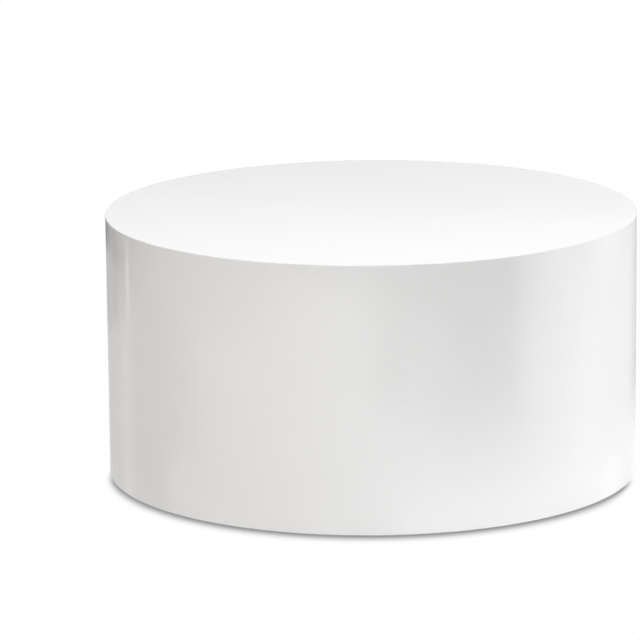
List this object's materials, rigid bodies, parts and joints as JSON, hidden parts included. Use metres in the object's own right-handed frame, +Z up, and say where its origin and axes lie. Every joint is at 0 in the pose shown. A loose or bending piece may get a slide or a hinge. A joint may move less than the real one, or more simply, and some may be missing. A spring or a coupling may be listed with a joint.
{
  "type": "round coffee table",
  "caption": "Low round drum coffee table with a flat white gloss top, a closed cylindrical wall and a hollow ribbed former inside, standing on hidden felt glides.",
  "frame": {"origin": "on the floor, under the centre of the drum", "axes": "+Z up along the drum's axis, +X to the right and -Y towards the viewer of the picture; rib 1 and the liner's butt joint are at +Y"},
  "size_m": [0.5999, 0.6, 0.3],
  "materials": {
    "white_lacquer": "high gloss white lacquer on fibreboard",
    "kerfed_board": "raw fibreboard with sawn kerfs",
    "raw_board": "raw fibreboard",
    "black_plastic": "moulded, satin",
    "grey_felt": "pressed felt",
    "zinc_plated_steel": "zinc plated"
  },
  "bodies": {
    "root": {"top_panel": "white_lacquer", "outer_skin": "white_lacquer", "kerfed_liner": "kerfed_board", "upper_ring": "raw_board", "base_ring": "raw_board", "rib_1": "raw_board", "rib_2": "raw_board", "rib_3": "raw_board", "rib_4": "raw_board", "rib_5": "raw_board", "rib_6": "raw_board", "rib_7": "raw_board", "rib_8": "raw_board", "rib_9": "raw_board", "rib_10": "raw_board", "rib_11": "raw_board", "rib_12": "raw_board", "glide_cup_1": "black_plastic", "glide_cup_2": "black_plastic", "glide_cup_3": "black_plastic", "glide_cup_4": "black_plastic", "glide_cup_5": "black_plastic", "glide_cup_6": "black_plastic", "felt_pad_1": "grey_felt", "felt_pad_2": "grey_felt", "felt_pad_3": "grey_felt", "felt_pad_4": "grey_felt", "felt_pad_5": "grey_felt", "felt_pad_6": "grey_felt", "lower_rib_screws": "zinc_plated_steel", "upper_rib_screws": "zinc_plated_steel", "top_panel_screws": "zinc_plated_steel", "glide_screws": "zinc_plated_steel"}
  },
  "joints": []
}
